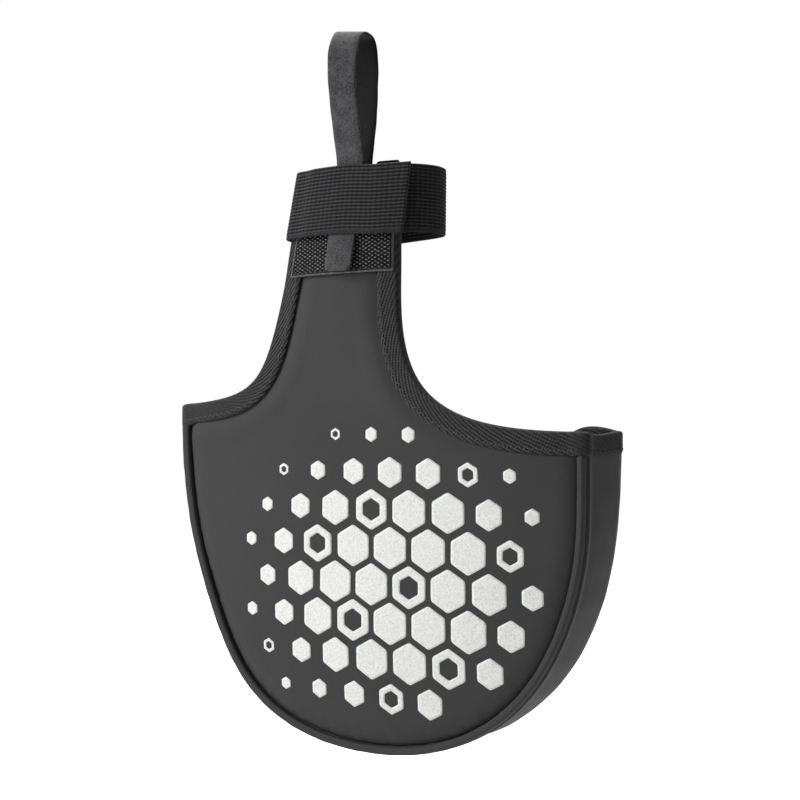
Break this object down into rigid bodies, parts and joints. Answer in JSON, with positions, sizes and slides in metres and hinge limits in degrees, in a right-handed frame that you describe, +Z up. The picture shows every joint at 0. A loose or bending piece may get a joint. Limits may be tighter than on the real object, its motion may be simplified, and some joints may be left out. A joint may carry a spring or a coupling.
{
  "type": "crank protector",
  "caption": "Soft padded cover for a bicycle's chainring and crank: half-round pouch with piping, bound mouth, neck, wide elastic strap and suede hang loop.",
  "frame": {"origin": "middle of the strap loop that goes round the seat tube and the crank arm", "axes": "+Z up along the seat tube, -Y towards the crowned front panel, +X to the front panel's right as seen from the front"},
  "size_m": [0.2662, 0.0637, 0.3903],
  "materials": {
    "faux_leather": "matte",
    "twill_tape": "matte",
    "hook_tape": "matte",
    "elastic_webbing": "matte",
    "suede": "matte",
    "silver_ink": "satin"
  },
  "bodies": {
    "root": {"front_panel": "faux_leather", "back_panel": "faux_leather", "gusset": "faux_leather", "piping": "faux_leather", "edge_binding": "twill_tape", "hook_patch": "hook_tape", "strap": "elastic_webbing", "strap_pad": "hook_tape", "strap_stay": "elastic_webbing", "hang_strip": "suede", "print": "silver_ink"}
  },
  "joints": []
}
